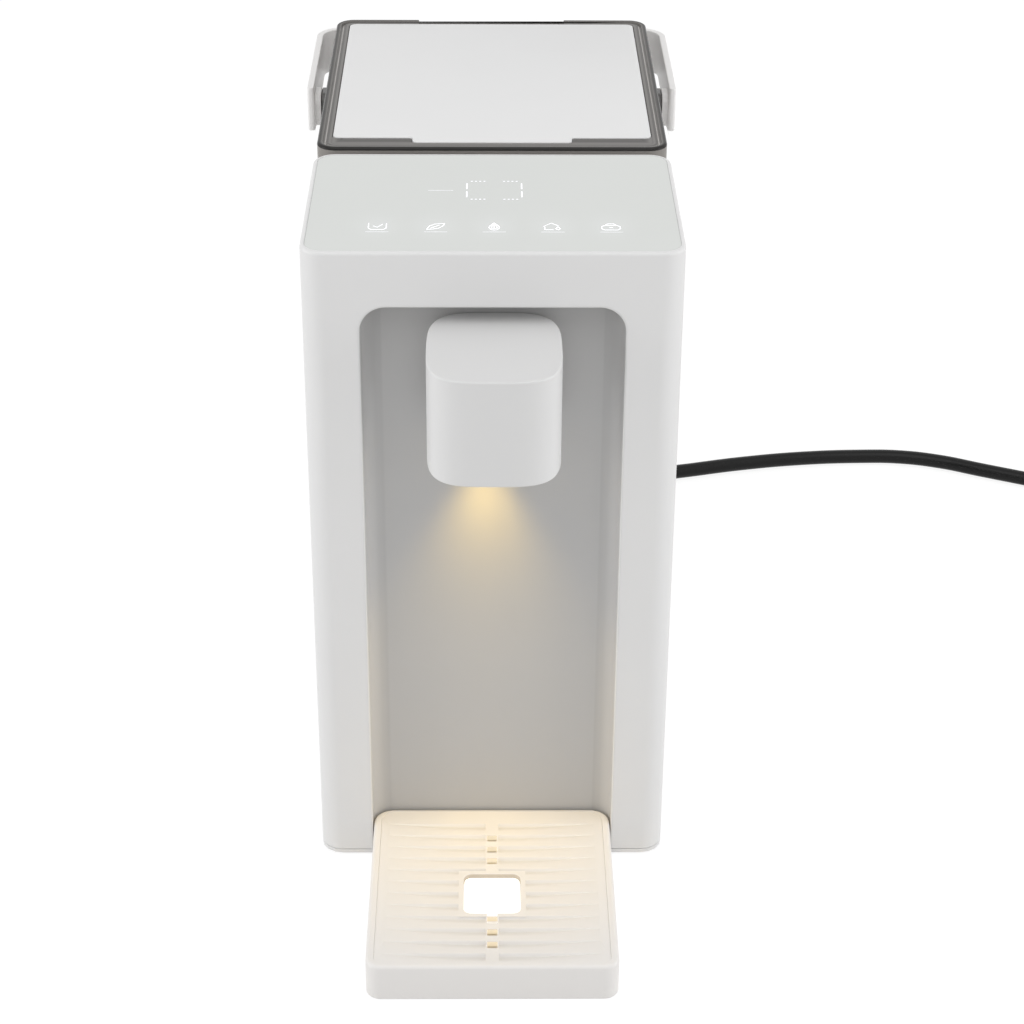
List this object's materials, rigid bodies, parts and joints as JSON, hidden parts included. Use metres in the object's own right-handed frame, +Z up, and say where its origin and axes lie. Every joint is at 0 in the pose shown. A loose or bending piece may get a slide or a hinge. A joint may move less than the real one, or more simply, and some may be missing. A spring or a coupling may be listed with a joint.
{
  "type": "instant hot water dispenser",
  "caption": "Slim countertop hot water dispenser: column with cup recess and squircle spout, slide-out drip tray, and a lift-off rear water tank with lid and folding handle.",
  "frame": {"origin": "on the surface that the machine stands on, under the middle of its outline, from the drip tray's front to the tank handle's rear, without the mains cord", "axes": "+X to the machine's right as seen from the front, +Y from the front to the back, +Z up"},
  "size_m": [0.5262, 0.4945, 0.2784],
  "materials": {
    "shell_white": "satin moulded ABS",
    "panel_white": "satin translucent white top plate",
    "liner_grey": "satin light grey",
    "tray_white": "satin white",
    "tank_clear": "clear smoky plastic",
    "lid_smoky": "smoky transparent plastic",
    "boss_grey": "satin smoky grey",
    "lid_white": "satin white",
    "handle_white": "satin white",
    "rubber_black": "matte",
    "cord_black": "satin PVC",
    "silicone": "translucent silicone",
    "plastic_dark": "moulded engineering plastic",
    "plastic_natural": "natural polypropylene",
    "steel": "stainless",
    "brass": "machined",
    "aluminium": "extruded",
    "board_green": "solder mask",
    "relay_blue": "moulded",
    "light_lens": "frosted lens"
  },
  "bodies": {
    "machine": {"column_housing": "shell_white", "control_panel": "panel_white", "recess_liner": "liner_grey", "base_plate": "shell_white", "foot_front_left": "rubber_black", "foot_front_right": "rubber_black", "foot_rear_left": "rubber_black", "foot_rear_right": "rubber_black", "base_screw_front_left": "steel", "base_screw_front_right": "steel", "base_screw_rear_left": "steel", "base_screw_rear_right": "steel", "dock_housing": "shell_white", "dock_socket": "plastic_dark", "dock_seal": "silicone", "spout_housing": "shell_white", "spout_cover": "shell_white", "nozzle": "steel", "led_module": "light_lens", "pump_housing": "plastic_dark", "pump_motor": "steel", "pump_cradle": "rubber_black", "heater_tube": "steel", "heater_cap_top": "plastic_dark", "heater_cap_bottom": "plastic_dark", "outlet_sensor": "steel", "heater_bracket": "steel", "thermal_cutout": "aluminium", "steam_chamber": "plastic_natural", "hose_dock_to_pump": "silicone", "hose_pump_to_heater": "silicone", "hose_heater_to_chamber": "silicone", "outlet_hose": "silicone", "main_board": "board_green", "power_relay": "relay_blue", "transformer": "plastic_dark", "triac_heatsink": "aluminium", "display_board": "board_green", "cord_bush": "rubber_black", "power_cord": "cord_black", "cord_coil": "cord_black", "mains_plug": "cord_black", "plug_pin_left": "brass", "plug_pin_right": "brass"},
    "tank": {"water_tank": "tank_clear", "valve_body": "plastic_natural", "valve_cap": "plastic_natural", "valve_spring": "steel", "handle_pivot_left": "boss_grey", "handle_pivot_right": "boss_grey"},
    "plunger": {"valve_plunger": "plastic_dark", "valve_seal": "silicone"},
    "lid": {"tank_lid_frame": "lid_smoky", "lid_plate": "lid_white", "lid_seal": "silicone"},
    "handle": {"tank_handle": "handle_white"},
    "tray": {"drip_tray": "tray_white"},
    "grille": {"drip_grille": "tray_white"},
    "impeller": {"pump_impeller": "plastic_natural", "pump_shaft": "steel"}
  },
  "joints": [
    {"name": "tank_lift", "type": "slide", "parent": "machine", "child": "tank", "axis": [0, 0, 1], "range_m": [0, 0.22]},
    {"name": "lid_lift", "type": "slide", "parent": "tank", "child": "lid", "axis": [0, 0, 1], "range_m": [0, 0.12]},
    {"name": "handle_swing", "type": "hinge", "parent": "tank", "child": "handle", "pos_m": [0, 0.1158, 0.262], "axis": [1, 0, 0], "range_deg": [0, 100]},
    {"name": "valve_plunger_travel", "type": "slide", "parent": "tank", "child": "plunger", "axis": [0, 0, 1], "range_m": [0, 0.003], "stiffness_N_per_m": 250, "springref_m": -0.004, "deforming": ["valve_spring"]},
    {"name": "tray_pull", "type": "slide", "parent": "machine", "child": "tray", "axis": [0, -1, 0], "range_m": [0, 0.12]},
    {"name": "grille_lift", "type": "slide", "parent": "tray", "child": "grille", "axis": [0, 0, 1], "range_m": [0, 0.06]},
    {"name": "impeller_spin", "type": "hinge", "parent": "machine", "child": "impeller", "pos_m": [-0.034, 0.1003, 0.027], "axis": [0, 1, 0], "continuous": true}
  ]
}
